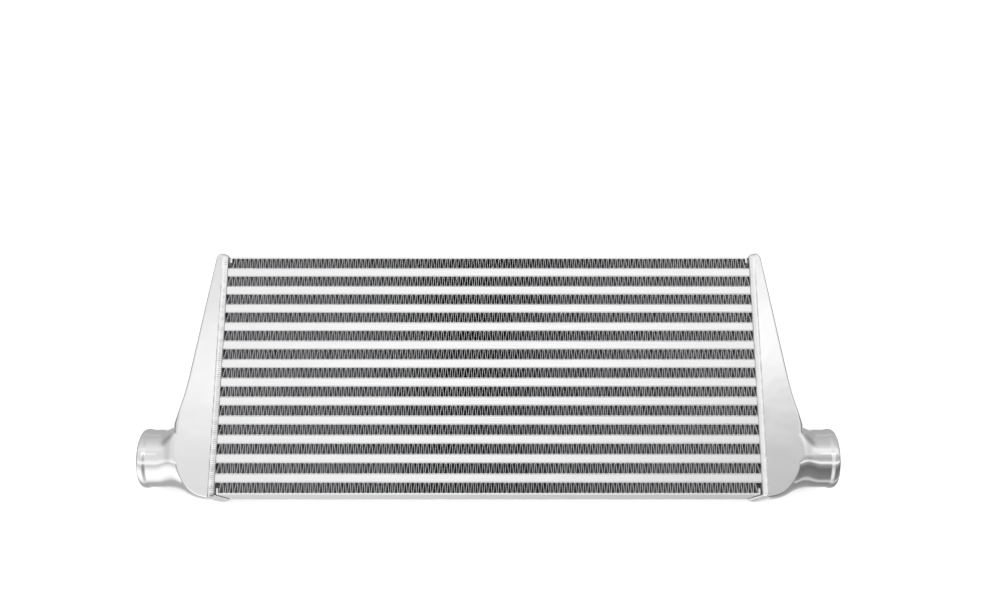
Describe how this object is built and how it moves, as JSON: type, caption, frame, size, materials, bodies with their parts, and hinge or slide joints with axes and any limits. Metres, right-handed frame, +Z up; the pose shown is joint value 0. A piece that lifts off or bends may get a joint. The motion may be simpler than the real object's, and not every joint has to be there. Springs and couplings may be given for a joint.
{
  "type": "intercooler",
  "caption": "Flat bar-and-plate intercooler: rows of corrugated air fins between charge air tubes, with a cast end tank welded on each side and a round beaded hose stub low on each tank.",
  "frame": {"origin": "under the middle of the core, on the plane that the backs of the end tanks lie on", "axes": "+X across the core from stub to stub, +Y from the stub end of the tanks to their narrow end, +Z up out of the front face"},
  "size_m": [0.768, 0.2745, 0.076],
  "materials": {
    "cast_tanks": "satin, polished casting",
    "weld_beads": "bright, rippled as welded",
    "tubes_and_bars": "bright, fine drawn grain along the bar",
    "air_fins": "thin sheet, as brazed",
    "side_plates": "rolled sheet, brushed",
    "turbulators": "thin sheet, as brazed"
  },
  "bodies": {
    "root": {"air_fin_01": "air_fins", "air_fin_02": "air_fins", "air_fin_03": "air_fins", "air_fin_04": "air_fins", "air_fin_05": "air_fins", "air_fin_06": "air_fins", "air_fin_07": "air_fins", "air_fin_08": "air_fins", "air_fin_09": "air_fins", "air_fin_10": "air_fins", "air_fin_11": "air_fins", "air_fin_12": "air_fins", "air_fin_13": "air_fins", "tube_01": "tubes_and_bars", "tube_02": "tubes_and_bars", "tube_03": "tubes_and_bars", "tube_04": "tubes_and_bars", "tube_05": "tubes_and_bars", "tube_06": "tubes_and_bars", "tube_07": "tubes_and_bars", "tube_08": "tubes_and_bars", "tube_09": "tubes_and_bars", "tube_10": "tubes_and_bars", "tube_11": "tubes_and_bars", "tube_12": "tubes_and_bars", "front_bar_01": "tubes_and_bars", "front_bar_02": "tubes_and_bars", "front_bar_03": "tubes_and_bars", "front_bar_04": "tubes_and_bars", "front_bar_05": "tubes_and_bars", "front_bar_06": "tubes_and_bars", "front_bar_07": "tubes_and_bars", "front_bar_08": "tubes_and_bars", "front_bar_09": "tubes_and_bars", "front_bar_10": "tubes_and_bars", "front_bar_11": "tubes_and_bars", "front_bar_12": "tubes_and_bars", "turbulator_01": "turbulators", "turbulator_02": "turbulators", "turbulator_03": "turbulators", "turbulator_04": "turbulators", "turbulator_05": "turbulators", "turbulator_06": "turbulators", "turbulator_07": "turbulators", "turbulator_08": "turbulators", "turbulator_09": "turbulators", "turbulator_10": "turbulators", "turbulator_11": "turbulators", "turbulator_12": "turbulators", "top_plate": "side_plates", "bottom_plate": "side_plates", "weld_left": "weld_beads", "weld_right": "weld_beads", "tank_left": "cast_tanks", "tank_right": "cast_tanks"}
  },
  "joints": []
}
